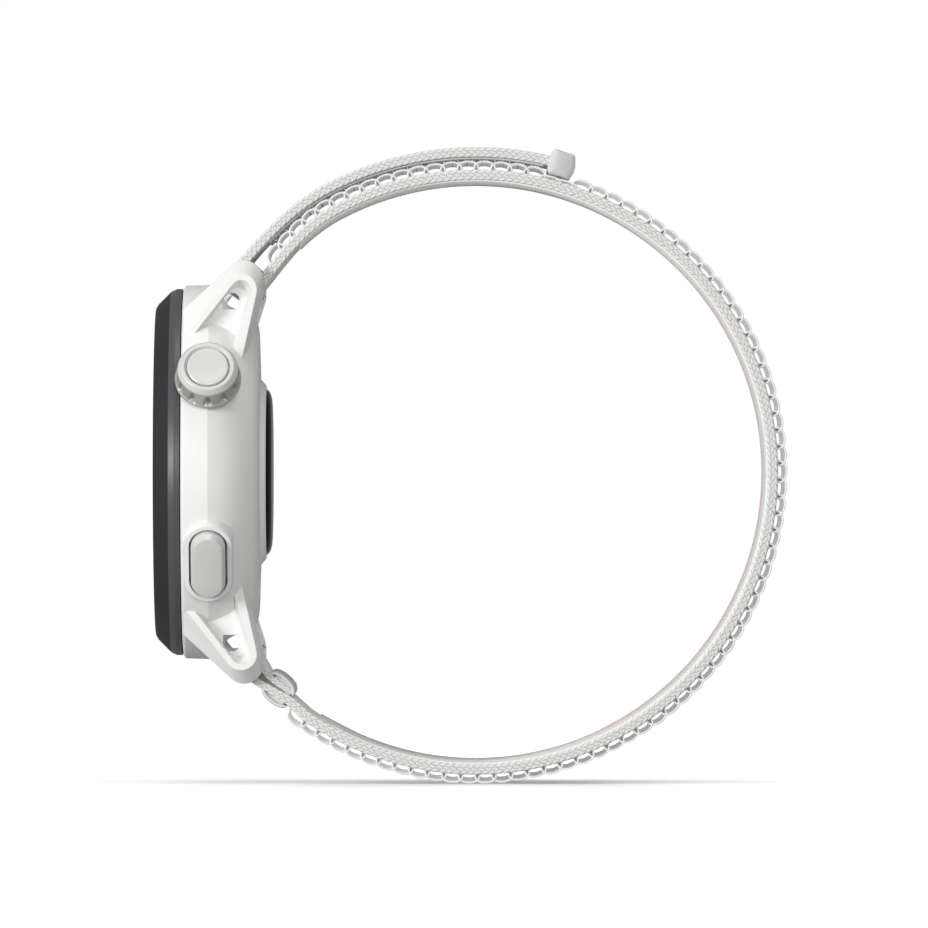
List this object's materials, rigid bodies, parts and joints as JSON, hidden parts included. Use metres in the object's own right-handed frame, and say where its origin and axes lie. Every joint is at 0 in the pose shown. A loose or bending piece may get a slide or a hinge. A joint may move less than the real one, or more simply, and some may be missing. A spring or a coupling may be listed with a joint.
{
  "type": "gps running watch",
  "caption": "Round white GPS sports watch with a turning crown, a press button and a closed hook-and-loop nylon strap.",
  "frame": {"origin": "centre of the flat outer face of the optical sensor window, where the watch rests on the wrist", "axes": "+X points into the wrist, away from the dial; +Z points to 12 o'clock; -Y points to the crown side"},
  "size_m": [0.0705, 0.0438, 0.0707],
  "materials": {
    "white_shell": "fine satin moulded polymer",
    "black_bezel": "fine textured matte",
    "display_glass": "polished, dark mask behind",
    "sensor_glass": "polished dark filter",
    "panel": "reflective display",
    "seal_rubber": "soft matte",
    "antenna_gold": "plated",
    "chassis_plastic": "moulded, fibre filled",
    "circuit_board": "solder mask",
    "battery_foil": "laminated foil pouch",
    "led_green": "clear emitter",
    "steel": "turned",
    "knob_metal": "light silver coat",
    "braid": "flat braided nylon, herringbone edge",
    "strap_lining": "smooth tight weave",
    "loop_pile": "rows of translucent nylon loops",
    "hook_strip": "moulded micro hooks on grey tape",
    "clip_plastic": "satin moulded"
  },
  "bodies": {
    "case": {"barometer_sensor": "steel", "battery": "battery_foil", "bezel": "black_bezel", "button_switch": "steel", "case_body": "white_shell", "charge_pin_1": "antenna_gold", "charge_pin_2": "antenna_gold", "charge_pin_3": "antenna_gold", "charge_pin_4": "antenna_gold", "contact_block": "chassis_plastic", "cover_screw_1": "steel", "cover_screw_2": "steel", "cover_screw_3": "steel", "cover_screw_4": "steel", "crown_encoder": "chassis_plastic", "crown_switch": "steel", "crown_tube": "steel", "display_glass": "display_glass", "display_panel": "panel", "front_gasket": "seal_rubber", "gps_antenna": "antenna_gold", "green_led_lower": "led_green", "green_led_upper": "led_green", "inner_chassis": "chassis_plastic", "keeper_ring": "clip_plastic", "loop_field": "loop_pile", "lower_bar_spring": "steel", "lower_bar_tube": "steel", "lower_fixed_tip": "steel", "main_board": "circuit_board", "photodiode_left": "chassis_plastic", "photodiode_right": "chassis_plastic", "processor_shield": "steel", "rear_cover": "white_shell", "rear_gasket": "seal_rubber", "sensor_board": "circuit_board", "sensor_window": "sensor_glass", "strap_band": "braid", "strap_lining": "strap_lining", "upper_bar_spring": "steel", "upper_bar_tube": "steel", "upper_fixed_tip": "steel", "vent_membrane": "seal_rubber", "vibration_motor": "steel"},
    "crown_plunger": {"crown_plunger": "chassis_plastic"},
    "crown": {"crown_knob": "knob_metal", "crown_cap": "knob_metal", "crown_stem": "steel", "crown_oring": "seal_rubber", "crown_clip": "steel"},
    "back_button": {"button_cap": "knob_metal", "button_stem": "steel", "button_oring": "seal_rubber", "button_clip": "steel"},
    "upper_release": {"upper_release_pin": "steel"},
    "lower_release": {"lower_release_pin": "steel"},
    "strap_tail": {"strap_tail": "braid", "hook_patch": "hook_strip", "end_tab": "clip_plastic"}
  },
  "joints": [
    {"name": "crown_press", "type": "slide", "parent": "case", "child": "crown_plunger", "axis": [0, 0.8788, -0.4772], "range_m": [0, 0.00045], "stiffness_N_per_m": 4000},
    {"name": "crown_turn", "type": "hinge", "parent": "crown_plunger", "child": "crown", "pos_m": [-0.0069, 0, 0], "axis": [0, -0.8788, 0.4772], "continuous": true},
    {"name": "button_press", "type": "slide", "parent": "case", "child": "back_button", "axis": [0, 0.8788, 0.4772], "range_m": [0, 0.0004], "stiffness_N_per_m": 4000},
    {"name": "upper_release_slide", "type": "slide", "parent": "case", "child": "upper_release", "axis": [0, -1, 0], "range_m": [0, 0.0012], "stiffness_N_per_m": 800},
    {"name": "lower_release_slide", "type": "slide", "parent": "case", "child": "lower_release", "axis": [0, -1, 0], "range_m": [0, 0.0012], "stiffness_N_per_m": 800},
    {"name": "tail_peel", "type": "hinge", "parent": "case", "child": "strap_tail", "pos_m": [-0.003, 0, 0.0212], "axis": [0, -1, 0], "range_deg": [0, 85]}
  ]
}
